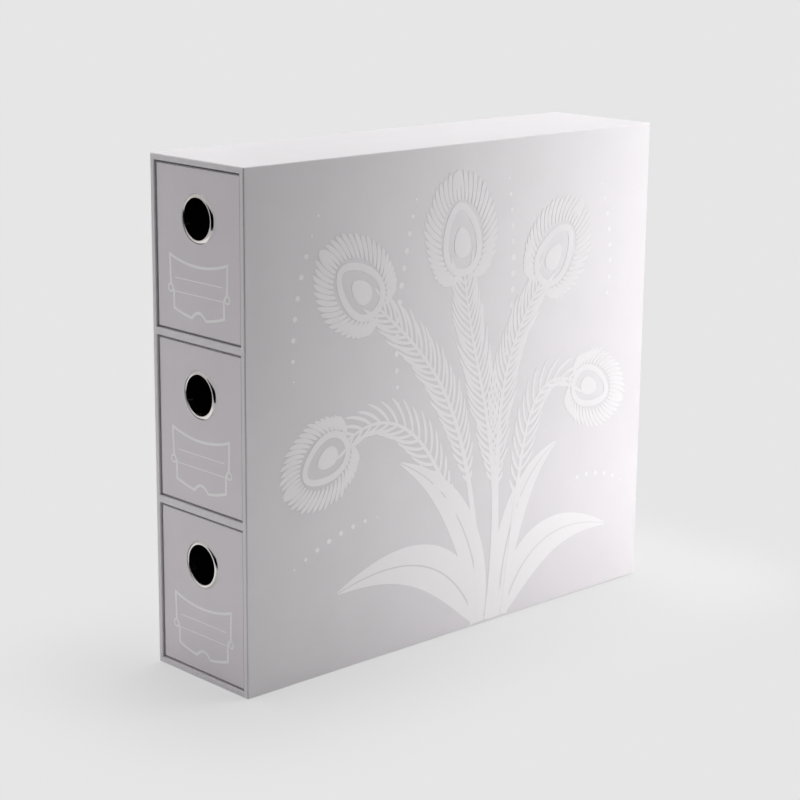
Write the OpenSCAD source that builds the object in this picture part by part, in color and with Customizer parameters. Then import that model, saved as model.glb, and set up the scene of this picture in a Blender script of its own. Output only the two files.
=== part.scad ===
// Card box with three drawers: a tall, narrow, deep slip case of paper-covered board.
// The front faces -Y, where the drawers pull out, and Z = 0 is the floor that the box stands on.
// X = 0 is the middle of the width, Y = 0 the middle of the depth.

/* [Case] */
// Width of the case, side to side
case_w = 90; // [84:1:110]
// Depth of the case, front to back
case_d = 365; // [200:5:420]
// Height of the case, from the floor to its top
case_h = 330; // [300:5:380]
// Thickness of the board in the case's walls
case_board = 3.4; // [1.5:0.1:4.5]
// Thickness of the board in the two shelves
shelf_board = 4.4; // [2:0.1:6]
// How far the white paper turns into each bay
bay_turn_in = 18; // [8:1:40]
// Width of the folded paper margin under the base and on the back
fold_margin = 15; // [8:1:25]
// How far the base and back sheets stop short of the case's edges
sheet_inset = 2; // [1:0.5:6]

/* [Paper] */
// Thickness of the white covering paper, with its film and glue
wrap_t = 0.3; // [0.2:0.05:0.5]
// Thickness of the black lining paper
liner_t = 0.3; // [0.2:0.05:0.5]
// Thickness of the sheets under the base and on the back
sheet_t = 0.3; // [0.2:0.05:0.5]
// Radius of a fold, as a multiple of the paper's thickness
fold_factor = 2.8; // [1:0.1:3]

/* [Drawers] */
// How far a drawer's front sits behind the front of the case
front_recess = 1.2; // [1.2:0.1:6]
// Running gap on each side of a drawer
side_gap = 0.5; // [0.3:0.1:1.2]
// Gap above a drawer
top_gap = 0.9; // [0.5:0.1:3]
// Running gap below a drawer
floor_gap = 0.6; // [0.1:0.1:0.8]
// Space behind a closed drawer
rear_gap = 3; // [1:0.5:12]
// Thickness of the board in a drawer's front
front_board = 2.5; // [1.5:0.1:4]
// Thickness of the board in a drawer's sides, back and base
drawer_board = 2; // [1.5:0.1:3]
// How far the white paper turns down inside a drawer's rim
rim_turn_in = 14; // [6:1:14]

/* [Finger rings] */
// Radius of the finger hole, inside the metal
ring_bore_r = 12.8; // [10:0.1:14]
// Thickness of the ring's sheet metal
ring_sheet = 0.4; // [0.3:0.05:0.5]
// Width of the rim on the drawer's front, outside the finger hole
rim_w = 2.7; // [2.4:0.1:3.5]
// How far the rim's crest stands out from the drawer's front
rim_h = 1.1; // [0.9:0.05:1.4]
// Radius that the rim turns into the finger hole with
lip_r = 0.65; // [0.6:0.05:0.8]
// Radius of the curl that holds the washer
curl_r = 0.9; // [0.8:0.05:1.1]
// How far the ring's centre lies below the drawer's rim
ring_drop = 30.8; // [30:0.1:60]
// Clearance between the ring's barrel and its hole in the board
ring_fit = 0.2; // [0.05:0.05:0.4]
// Clearance between the ring's barrel and its washer
washer_fit = 0.1; // [0.05:0.05:0.2]
// Width of the washer's flat ring
washer_w = 2.3; // [1.8:0.1:2.5]
// Thickness of the washer
washer_t = 0.5; // [0.3:0.1:1]

/* [Hidden] */

// The bays, from the floor up
LOWER = 0;
MIDDLE = 1;
UPPER = 2;
BAYS = [LOWER, MIDDLE, UPPER];

// Sides of the box, as signs along X
LEFT = -1;
RIGHT = 1;

// How far a cut runs past the face that it opens
past = 1;

// Facets that a round edge and a ring are drawn with
edge_fn = 32;
ring_fn = 96;

paper_colour = "whitesmoke";
lining_colour = "#1c1c1e";
board_colour = "#9a958c";
metal_colour = "silver";

// Radius that the paper takes over a board's edge
fold_r = fold_factor * wrap_t;

// Outside of the covering paper
front_y = -case_d / 2;
back_y = case_d / 2 - sheet_t;
paper_z = sheet_t;

// Outside of the case's boards, just under the paper
board_x = case_w / 2 - wrap_t;
board_y0 = front_y + wrap_t;
board_y1 = back_y - wrap_t;
board_z0 = paper_z + wrap_t;
board_z1 = case_h - wrap_t;

// Inside of the case's boards
inner_x = board_x - case_board;
inner_y1 = board_y1 - case_board;
inner_z0 = board_z0 + case_board;
inner_z1 = board_z1 - case_board;

// Height of a bay between bare boards, and the step from one bay to the next
bay_h = (inner_z1 - inner_z0 - 2 * shelf_board) / len(BAYS);
bay_step = bay_h + shelf_board;
function bay_z0(bay) = inner_z0 + bay * bay_step;
function bay_z1(bay) = bay_z0(bay) + bay_h;

// What lines a bay's walls: the white paper in front, the black one behind it
lining_t = max(wrap_t, liner_t);

// Outside of a drawer
drawer_x = inner_x - lining_t - side_gap;
drawer_y0 = front_y + front_recess;
drawer_y1 = inner_y1 - liner_t - rear_gap;
function drawer_z0(bay) = bay_z0(bay) + lining_t + floor_gap;
function drawer_z1(bay) = bay_z1(bay) - lining_t - top_gap;

// Outside and inside of a drawer's boards
wall_x1 = drawer_x - wrap_t;
wall_x0 = wall_x1 - drawer_board;
wall_y0 = drawer_y0 + wrap_t;
wall_y1 = drawer_y1 - wrap_t;
hollow_y0 = wall_y0 + front_board;
hollow_y1 = wall_y1 - drawer_board;
function wall_z0(bay) = drawer_z0(bay) + wrap_t;
function wall_z1(bay) = drawer_z1(bay) - wrap_t;
function hollow_z0(bay) = wall_z0(bay) + drawer_board;
function turn_in_z(bay) = drawer_z1(bay) - rim_turn_in;

// The ring: its barrel, its hole in the board, and how much it clamps
barrel_r = ring_bore_r + ring_sheet;
hole_r = barrel_r + ring_fit;
clamped_t = wrap_t + front_board + liner_t;
ring_grip = clamped_t + washer_t;
washer_r0 = barrel_r + washer_fit;
washer_r1 = washer_r0 + washer_w;
function ring_z(bay) = drawer_z1(bay) - ring_drop;

// The rim's slope: an arc that lies level at the crest and falls to the drawer's front
crest_r = ring_bore_r + lip_r;
slope_w = rim_w - lip_r;
slope_r = (slope_w * slope_w + rim_h * rim_h) / (2 * rim_h);

// A block between two opposite corners
module block(low, high) {
    translate(low) cube(high - low);
}

// A rectangle from the origin, with round corners
module rounded_rectangle(size, r) {
    translate([r, 0]) square([size.x - 2 * r, size.y]);
    translate([0, r]) square([size.x, size.y - 2 * r]);
    for (x = [r, size.x - r], y = [r, size.y - r])
        translate([x, y]) circle(r, $fn = edge_fn);
}

// A block between two opposite corners, with every edge rounded
module rounded_block(low, high, r) {
    size = high - low;
    translate(low) intersection() {
        linear_extrude(size.z) rounded_rectangle([size.x, size.y], r);
        translate([0, size.y, 0]) rotate([90, 0, 0])
            linear_extrude(size.y) rounded_rectangle([size.x, size.z], r);
        rotate([90, 0, 90])
            linear_extrude(size.x) rounded_rectangle([size.y, size.z], r);
    }
}

// What is cut from a square outer edge along Z to leave it round. The edge stands at the origin,
// and the solid lies on the +X and +Y sides of it.
module edge_waste(length, r) {
    linear_extrude(length) difference() {
        translate([-past, -past]) square(r + past);
        translate([r, r]) circle(r, $fn = edge_fn);
        translate([-2 * past, r]) square([r + 3 * past, past]);
    }
}

// What is cut from the front edges of an opening in the X-Z plane, between two opposite corners.
// The opening faces -Y, and its front face lies at Y = 0.
module mouth_waste(low, high, r) {
    w = high.x - low.x;
    h = high.y - low.y;
    translate([high.x, 0, low.y]) edge_waste(h, r);
    translate([low.x, 0, low.y]) mirror([1, 0, 0]) edge_waste(h, r);
    translate([low.x, 0, high.y]) rotate([0, 90, 0]) mirror([1, 0, 0]) edge_waste(w, r);
    translate([low.x, 0, low.y]) rotate([0, 90, 0]) edge_waste(w, r);
}

// The finger hole of a drawer, wide enough for the ring's barrel
module finger_hole(bay) {
    translate([0, drawer_y0 - past, ring_z(bay)]) rotate([-90, 0, 0])
        cylinder(r = hole_r, h = clamped_t + 2 * past, $fn = ring_fn);
}

// Case boards

module case_side_board(side) {
    x = side == LEFT ? -board_x : inner_x;
    color(board_colour) translate([x, board_y0, board_z0])
        cube([case_board, board_y1 - board_y0, board_z1 - board_z0]);
}

module case_top_board() {
    color(board_colour) block([-inner_x, board_y0, inner_z1], [inner_x, board_y1, board_z1]);
}

module case_bottom_board() {
    color(board_colour) block([-inner_x, board_y0, board_z0], [inner_x, board_y1, inner_z0]);
}

module case_back_board() {
    color(board_colour) block([-inner_x, inner_y1, inner_z0], [inner_x, board_y1, inner_z1]);
}

// A shelf stands on top of the bay that it is named by
module shelf_board(bay) {
    z = bay_z1(bay);
    color(board_colour) block([-inner_x, board_y0, z], [inner_x, inner_y1, z + shelf_board]);
}

// Papers of the case

// White paper folded round the front edge of a shelf
module shelf_wrap(bay) {
    h = shelf_board + 2 * wrap_t;
    color(paper_colour)
        translate([-inner_x, front_y, bay_z1(bay) - wrap_t]) rotate([90, 0, 90])
            linear_extrude(2 * inner_x) difference() {
                rounded_rectangle([bay_turn_in + fold_r, h], fold_r);
                translate([wrap_t, wrap_t]) square([bay_turn_in + fold_r, shelf_board]);
                translate([bay_turn_in, -past]) square([fold_r + past, h + 2 * past]);
            }
}

// The openings in the paper's margins under the base and on the back
module base_window(z0, z1) {
    block([-case_w / 2 + fold_margin, front_y + fold_margin, z0],
        [case_w / 2 - fold_margin, back_y - fold_margin, z1]);
}

module back_window(y0, y1) {
    block([-case_w / 2 + fold_margin, y0, paper_z + fold_margin],
        [case_w / 2 - fold_margin, y1, case_h - fold_margin]);
}

// White paper on the inside of a bay's side walls
module bay_side_turn_in(bay, side) {
    x = side == LEFT ? -inner_x : inner_x - wrap_t;
    translate([x, front_y, bay_z0(bay) + wrap_t]) cube([wrap_t, bay_turn_in, bay_h - 2 * wrap_t]);
}

// White paper on the floor of the lowest bay and on the ceiling of the highest
module bay_end_turn_in(z) {
    translate([-inner_x, front_y, z]) cube([2 * inner_x, bay_turn_in, wrap_t]);
}

// One sheet of white paper over the sides, top and front edges, folded under and behind the case
module case_wrap() {
    color(paper_colour) difference() {
        union() {
            difference() {
                rounded_block([-case_w / 2, front_y, paper_z], [case_w / 2, back_y, case_h], fold_r);
                block([-board_x, board_y0, board_z0], [board_x, board_y1, board_z1]);
                block([-inner_x, front_y - past, inner_z0], [inner_x, board_y0 + past, inner_z1]);
                base_window(paper_z - past, board_z0 + past);
                back_window(board_y1 - past, back_y + past);
            }
            for (bay = BAYS, side = [LEFT, RIGHT]) bay_side_turn_in(bay, side);
            bay_end_turn_in(inner_z0);
            bay_end_turn_in(inner_z1 - wrap_t);
        }
        for (bay = BAYS)
            translate([0, front_y, 0])
                mouth_waste([-inner_x + wrap_t, bay_z0(bay) + wrap_t],
                    [inner_x - wrap_t, bay_z1(bay) - wrap_t], fold_r);
    }
}

// Sheet glued over the margins under the base: it fills the window between them
module base_sheet() {
    color(paper_colour) union() {
        block([-case_w / 2 + sheet_inset, front_y + sheet_inset, 0],
            [case_w / 2 - sheet_inset, back_y - sheet_inset, paper_z]);
        base_window(paper_z, board_z0);
    }
}

// Sheet glued over the margins on the back, in the same way
module back_sheet() {
    color(paper_colour) union() {
        block([-case_w / 2 + sheet_inset, back_y, paper_z + sheet_inset],
            [case_w / 2 - sheet_inset, case_d / 2, case_h - sheet_inset]);
        back_window(board_y1, back_y);
    }
}

// Black paper on the walls and the back of a bay, behind the white margin
module bay_liner(bay) {
    color(lining_colour) difference() {
        block([-inner_x, front_y + bay_turn_in, bay_z0(bay)], [inner_x, inner_y1, bay_z1(bay)]);
        block([-inner_x + liner_t, front_y + bay_turn_in - past, bay_z0(bay) + liner_t],
            [inner_x - liner_t, inner_y1 - liner_t, bay_z1(bay) - liner_t]);
    }
}

// Drawer boards

module drawer_front_board(bay) {
    color(board_colour) difference() {
        block([-wall_x1, wall_y0, wall_z0(bay)], [wall_x1, hollow_y0, wall_z1(bay)]);
        finger_hole(bay);
    }
}

module drawer_side_board(bay, side) {
    x = side == LEFT ? -wall_x1 : wall_x0;
    color(board_colour) translate([x, hollow_y0, wall_z0(bay)])
        cube([drawer_board, hollow_y1 - hollow_y0, wall_z1(bay) - wall_z0(bay)]);
}

module drawer_back_board(bay) {
    color(board_colour)
        block([-wall_x1, hollow_y1, wall_z0(bay)], [wall_x1, wall_y1, wall_z1(bay)]);
}

module drawer_base_board(bay) {
    color(board_colour)
        block([-wall_x0, hollow_y0, wall_z0(bay)], [wall_x0, hollow_y1, hollow_z0(bay)]);
}

// Papers of a drawer

// What is cut from the inner edges of the rim, to leave them round
module rim_waste(bay) {
    x = wall_x0 - wrap_t;
    translate([0, 0, drawer_z1(bay)]) rotate([-90, 0, 0])
        mouth_waste([-x, hollow_y0 + wrap_t], [x, hollow_y1 - wrap_t], fold_r);
}

// One sheet of white paper over the whole outside, folded over the rim and turned down inside it
module drawer_wrap(bay) {
    color(paper_colour) difference() {
        union() {
            difference() {
                rounded_block([-drawer_x, drawer_y0, drawer_z0(bay)],
                    [drawer_x, drawer_y1, drawer_z1(bay)], fold_r);
                block([-wall_x1, wall_y0, wall_z0(bay)], [wall_x1, wall_y1, wall_z1(bay)]);
            }
            block([-wall_x0, hollow_y0, turn_in_z(bay)], [wall_x0, hollow_y1, drawer_z1(bay)]);
        }
        block([-wall_x0 + wrap_t, hollow_y0 + wrap_t, hollow_z0(bay)],
            [wall_x0 - wrap_t, hollow_y1 - wrap_t, drawer_z1(bay) + past]);
        rim_waste(bay);
        finger_hole(bay);
    }
}

// Black paper on the floor and on the walls, up to the white margin
module drawer_liner(bay) {
    color(lining_colour) difference() {
        block([-wall_x0, hollow_y0, hollow_z0(bay)], [wall_x0, hollow_y1, turn_in_z(bay)]);
        block([-wall_x0 + liner_t, hollow_y0 + liner_t, hollow_z0(bay) + liner_t],
            [wall_x0 - liner_t, hollow_y1 - liner_t, turn_in_z(bay) + past]);
        finger_hole(bay);
    }
}

// Ring and washer

// Section of the sheet where it is bent round a centre, with r on its outside, as far as the
// bend lies between two opposite corners
module bend(centre, r, low, high) {
    intersection() {
        translate(centre) difference() {
            circle(r, $fn = edge_fn);
            circle(r - ring_sheet, $fn = edge_fn);
        }
        translate(low) square(high - low);
    }
}

// Section of the ring: X is the radius, Y the depth behind the drawer's front
module ring_section() {
    barrel_y0 = lip_r - rim_h;
    curl_x = ring_bore_r + curl_r;
    bend([crest_r, barrel_y0], lip_r,
        [ring_bore_r - past, -rim_h - past], [crest_r, barrel_y0]);
    bend([crest_r, slope_r - rim_h], slope_r,
        [crest_r, -rim_h - past], [crest_r + slope_w + past, 0]);
    translate([ring_bore_r, barrel_y0]) square([ring_sheet, ring_grip - barrel_y0]);
    bend([curl_x, ring_grip], curl_r,
        [ring_bore_r - past, ring_grip], [curl_x + curl_r + past, ring_grip + curl_r + past]);
}

// Sheet metal ring: a sloping rim on the front, a barrel through the board and a curl behind
module drawer_finger_ring(bay) {
    color(metal_colour) translate([0, drawer_y0, ring_z(bay)]) rotate([-90, 0, 0])
        rotate_extrude($fn = ring_fn) ring_section();
}

// Flat washer between the lining and the ring's curl
module drawer_ring_washer(bay) {
    color(metal_colour) translate([0, drawer_y0 + clamped_t, ring_z(bay)]) rotate([-90, 0, 0])
        difference() {
            cylinder(r = washer_r1, h = washer_t, $fn = ring_fn);
            translate([0, 0, -past]) cylinder(r = washer_r0, h = washer_t + 2 * past, $fn = ring_fn);
        }
}

case_side_board(LEFT);  // case_left_board
case_side_board(RIGHT);  // case_right_board
case_top_board();
case_bottom_board();
case_back_board();
shelf_board(LOWER);  // lower_shelf_board
shelf_board(MIDDLE);  // upper_shelf_board
shelf_wrap(LOWER);  // lower_shelf_wrap
shelf_wrap(MIDDLE);  // upper_shelf_wrap
case_wrap();
base_sheet();
back_sheet();
bay_liner(LOWER);  // lower_bay_liner
bay_liner(MIDDLE);  // middle_bay_liner
bay_liner(UPPER);  // upper_bay_liner
drawer_front_board(LOWER);  // lower_drawer_front_board
drawer_side_board(LOWER, LEFT);  // lower_drawer_left_board
drawer_side_board(LOWER, RIGHT);  // lower_drawer_right_board
drawer_back_board(LOWER);  // lower_drawer_back_board
drawer_base_board(LOWER);  // lower_drawer_base_board
drawer_wrap(LOWER);  // lower_drawer_wrap
drawer_liner(LOWER);  // lower_drawer_liner
drawer_finger_ring(LOWER);  // lower_drawer_finger_ring
drawer_ring_washer(LOWER);  // lower_drawer_ring_washer
drawer_front_board(MIDDLE);  // middle_drawer_front_board
drawer_side_board(MIDDLE, LEFT);  // middle_drawer_left_board
drawer_side_board(MIDDLE, RIGHT);  // middle_drawer_right_board
drawer_back_board(MIDDLE);  // middle_drawer_back_board
drawer_base_board(MIDDLE);  // middle_drawer_base_board
drawer_wrap(MIDDLE);  // middle_drawer_wrap
drawer_liner(MIDDLE);  // middle_drawer_liner
drawer_finger_ring(MIDDLE);  // middle_drawer_finger_ring
drawer_ring_washer(MIDDLE);  // middle_drawer_ring_washer
drawer_front_board(UPPER);  // upper_drawer_front_board
drawer_side_board(UPPER, LEFT);  // upper_drawer_left_board
drawer_side_board(UPPER, RIGHT);  // upper_drawer_right_board
drawer_back_board(UPPER);  // upper_drawer_back_board
drawer_base_board(UPPER);  // upper_drawer_base_board
drawer_wrap(UPPER);  // upper_drawer_wrap
drawer_liner(UPPER);  // upper_drawer_liner
drawer_finger_ring(UPPER);  // upper_drawer_finger_ring
drawer_ring_washer(UPPER);  // upper_drawer_ring_washer
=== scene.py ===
"""Card box with three drawers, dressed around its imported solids.

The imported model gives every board, paper, lining, ring and washer at its real place. This script gives
them their finishes, adds the prints on the drawer fronts and on the side panel, and sets up a pale
studio with the camera at the photograph's viewing angle. Lengths with _mm in their name are
millimetres, and everything that reaches a mesh is in metres.
"""

import logging
import math
from collections.abc import Iterable, Sequence
from dataclasses import dataclass, field
from enum import Enum

import bmesh
import bpy
from bpy.types import Material, Mesh, Node, NodeTree, Object
from bpy.types import NodeSocket as Socket
from mathutils import Euler, Matrix, Vector


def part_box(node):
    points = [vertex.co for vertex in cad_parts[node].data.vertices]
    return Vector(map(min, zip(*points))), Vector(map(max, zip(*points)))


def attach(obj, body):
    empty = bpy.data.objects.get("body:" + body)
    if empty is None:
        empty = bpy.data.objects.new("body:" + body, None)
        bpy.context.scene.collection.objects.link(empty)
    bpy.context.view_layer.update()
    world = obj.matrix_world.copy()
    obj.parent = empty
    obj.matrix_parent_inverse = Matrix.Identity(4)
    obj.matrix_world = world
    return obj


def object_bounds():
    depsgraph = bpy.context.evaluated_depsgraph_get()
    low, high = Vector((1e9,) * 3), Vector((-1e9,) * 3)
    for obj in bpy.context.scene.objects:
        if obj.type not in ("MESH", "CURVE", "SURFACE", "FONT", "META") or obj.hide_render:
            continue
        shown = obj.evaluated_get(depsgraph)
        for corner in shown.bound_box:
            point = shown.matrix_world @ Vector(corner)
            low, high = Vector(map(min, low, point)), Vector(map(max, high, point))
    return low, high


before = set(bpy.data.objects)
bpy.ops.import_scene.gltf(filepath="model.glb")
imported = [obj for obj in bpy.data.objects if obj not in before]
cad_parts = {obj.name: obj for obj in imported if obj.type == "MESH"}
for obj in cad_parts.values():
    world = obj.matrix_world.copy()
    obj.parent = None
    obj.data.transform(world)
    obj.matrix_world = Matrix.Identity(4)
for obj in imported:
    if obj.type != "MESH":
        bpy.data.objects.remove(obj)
cad_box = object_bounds()

log = logging.getLogger("card_box")

MM = 0.001
CASE = "case"
UP = Vector((0, 0, 1))
FRONT_Y = -0.18  # about where the drawer fronts lie, in metres

Point = tuple[float, float]
Pair = tuple[float, float]
Triple = tuple[float, float, float]


class Level(Enum):
    """The three bays of the case, each with its drawer."""

    LOWER = "lower"
    MIDDLE = "middle"
    UPPER = "upper"

    @property
    def drawer(self) -> str:
        """Name of the drawer's body, which also begins the names of its nodes."""
        return f"{self.value}_drawer"


# Small tools for nodes, colours and meshes


def linear(hex_colour: str) -> tuple[float, float, float, float]:
    """Turns an sRGB colour into the linear one that Blender's sockets take.

    Args:
        hex_colour: colour as written on a swatch, such as "#E6E6E6".

    Returns:
        Linear red, green and blue, and an alpha of 1.
    """
    digits = hex_colour.lstrip("#")
    channels = [int(digits[i : i + 2], 16) / 255 for i in (0, 2, 4)]
    red, green, blue = (c / 12.92 if c <= 0.04045 else ((c + 0.055) / 1.055) ** 2.4 for c in channels)
    return red, green, blue, 1.0


def add_node(tree: NodeTree, kind: str, inputs: dict | None = None, **settings: object) -> Node:
    """Adds a node to a tree, sets it and links it.

    Args:
        tree: shader or geometry node tree.
        kind: Blender's name of the node's class.
        inputs: socket name or number to a value, or to the output socket that feeds it.
        settings: attributes of the node itself.

    Returns:
        The new node.
    """
    node = tree.nodes.new(kind)
    for name, value in settings.items():
        setattr(node, name, value)
    for key, value in (inputs or {}).items():
        if isinstance(value, Socket):
            tree.links.new(value, node.inputs[key])
        else:
            node.inputs[key].default_value = value
    return node


@dataclass
class Nodes:
    """A node tree, with the kinds of node that materials and prints share."""

    tree: NodeTree = field(init=False)

    def add(self, kind: str, inputs: dict | None = None, **settings: object) -> Node:
        """Adds a node to this tree."""
        return add_node(self.tree, kind, inputs, **settings)

    def out(self, kind: str, inputs: dict | None = None, socket: object = 0, **settings: object) -> Socket:
        """Adds a node and returns one of its outputs, the first unless another is asked for."""
        return self.add(kind, inputs, **settings).outputs[socket]

    def maths(self, operation: str, *values: object) -> Socket:
        """Adds a sum of numbers and returns its result."""
        return self.out("ShaderNodeMath", dict(enumerate(values)), operation=operation)

    def vectors(self, operation: str, *values: object) -> Socket:
        """Adds a sum of vectors and returns its result."""
        return self.out("ShaderNodeVectorMath", dict(enumerate(values)), operation=operation)

    def axes(self, vector: Socket) -> Sequence[Socket]:
        """Takes a vector apart into its X, Y and Z."""
        return self.add("ShaderNodeSeparateXYZ", {0: vector}).outputs

    def vector(self, **axes: object) -> Socket:
        """Puts a vector together from X, Y and Z, of which those left out are 0."""
        return self.out("ShaderNodeCombineXYZ", axes)

    def fit(
        self, value: Socket, source: Sequence = (0, 1), target: Sequence = (0, 1), smooth: bool = False
    ) -> Socket:
        """Takes a value from one range to another and holds it there.

        Args:
            value: the value.
            source: start and end of the range that it comes from.
            target: what these two become.
            smooth: whether it eases in and out.

        Returns:
            The value in its new range.
        """
        names = ("Value", "From Min", "From Max", "To Min", "To Max")
        return self.out(
            "ShaderNodeMapRange",
            dict(zip(names, (value, *source, *target))),
            interpolation_type="SMOOTHSTEP" if smooth else "LINEAR",
        )


@dataclass
class Shading(Nodes):
    """The nodes of a material or of the world, with the kinds that the finishes share.

    Attributes:
        owner: the material or world, which loses the nodes that it came with.
    """

    owner: bpy.types.ID

    def __post_init__(self) -> None:
        """Empties the owner's tree."""
        self.owner.use_nodes = True
        self.tree = self.owner.node_tree
        self.tree.nodes.clear()

    @staticmethod
    def of_material(name: str) -> "Shading":
        """Starts a new material."""
        return Shading(bpy.data.materials.new(name))

    def point(self) -> Socket:
        """Returns the point that is shaded, in metres."""
        return self.out("ShaderNodeTexCoord", socket="Object")

    def noise(
        self, point: Socket, spacing_mm: float, detail: float = 2.0, roughness: float = 0.5, **more: float
    ) -> Socket:
        """Adds noise.

        Args:
            point: where it is looked up.
            spacing_mm: distance between its patches.
            detail: number of finer layers in it.
            roughness: weight of these layers.
            more: other inputs of the node.

        Returns:
            The noise, spread about 0.5.
        """
        inputs = {"Scale": 1 / (spacing_mm * MM), "Detail": detail, "Roughness": roughness}
        return self.out("ShaderNodeTexNoise", {"Vector": point, **inputs, **more})

    def blend(self, share: Socket, colour: str, other: str) -> Socket:
        """Blends a colour with a share of another one."""
        inputs = {"Factor": share, "A": linear(colour), "B": linear(other)}
        return self.out("ShaderNodeMix", inputs, "Result", data_type="RGBA")

    def shaded(self, colour: object, shade: Socket) -> Socket:
        """Makes a colour darker or paler."""
        return self.out("ShaderNodeVectorMath", {0: colour, "Scale": shade}, operation="SCALE")

    def bump(self, height: Socket, relief: "Relief", **below: Socket) -> Socket:
        """Adds relief, on top of another one that is given as Normal."""
        inputs = {"Height": height, "Strength": relief.strength, "Distance": relief.depth_mm * MM}
        return self.out("ShaderNodeBump", {**inputs, **below})

    def ended(self, surface: Socket) -> Material:
        """Ends a material with its surface and returns it."""
        self.add("ShaderNodeOutputMaterial", {"Surface": surface})
        return self.owner

    def principled(self, colour: Socket, roughness: object, **more: object) -> Material:
        """Ends a material with a principled surface and returns it."""
        inputs = {"Base Color": colour, "Roughness": roughness, **more}
        return self.ended(self.out("ShaderNodeBsdfPrincipled", inputs))


def dress(piece: Object, material: Material) -> None:
    """Gives every material slot of a piece one material.

    Args:
        piece: the object to dress.
        material: what its whole surface is made of.
    """
    if not piece.material_slots:
        piece.data.materials.append(material)
    for material_slot in piece.material_slots:
        material_slot.material = material


def add_object(name: str, data: bpy.types.ID) -> Object:
    """Puts a mesh, a lamp or a camera into the scene as an object at the origin.

    Args:
        name: the object's name.
        data: what it shows.

    Returns:
        The object.
    """
    piece = bpy.data.objects.new(name, data)
    bpy.context.scene.collection.objects.link(piece)
    return piece


@dataclass(frozen=True)
class Slab:
    """A flat slab of ink, in millimetres in the print's own plane.

    Attributes:
        edge: its outline, counter-clockwise.
        hole: outline of its hole, of as many points, or nothing.
        lift: how much higher than the rest of the ink its face lies.
    """

    edge: Sequence[Point]
    hole: Sequence[Point] = ()
    lift: float = 0.0


def slab_mesh(name: str, slabs: Iterable[Slab], low_mm: float, high_mm: float) -> Mesh:
    """Makes closed slabs from flat outlines.

    Args:
        name: the mesh's name.
        slabs: the slabs.
        low_mm: height of their underside.
        high_mm: height of their face.

    Returns:
        The mesh, in metres, with the outlines in X and Y and the height along Z.
    """
    shape = bmesh.new()
    for slab in slabs:
        low, high, low_in, high_in = (
            [shape.verts.new((x * MM, y * MM, z * MM)) for x, y in outline]
            for outline in (slab.edge, slab.hole)
            for z in (low_mm, high_mm + slab.lift)
        )
        walls = [(low, high)]
        if slab.hole:
            walls += [(high, high_in), (high_in, low_in), (low_in, low)]
        else:
            shape.faces.new(low[::-1])
            shape.faces.new(high)
        for i in range(len(low)):
            for a, b in walls:
                shape.faces.new((a[i - 1], a[i], b[i], b[i - 1]))
    bmesh.ops.recalc_face_normals(shape, faces=shape.faces)
    mesh = bpy.data.meshes.new(name)
    shape.to_mesh(mesh)
    shape.free()
    return mesh


# Finishes


@dataclass(frozen=True)
class Relief:
    """Fine relief of a surface.

    Attributes:
        strength: how clearly it shows, from 0 to 1.
        depth_mm: how deep it is.
    """

    strength: float
    depth_mm: float


@dataclass(frozen=True)
class Folds:
    """Where a papered box has its folds.

    Attributes:
        centre: middle of the box, in metres.
        half: half of its size along each axis, in metres.
    """

    centre: Vector
    half: Vector

    @staticmethod
    def of(node: str) -> "Folds":
        """Reads the folds of the paper that wraps a box from its CAD node."""
        low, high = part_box(node)
        return Folds((low + high) / 2, (high - low) / 2)


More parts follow.
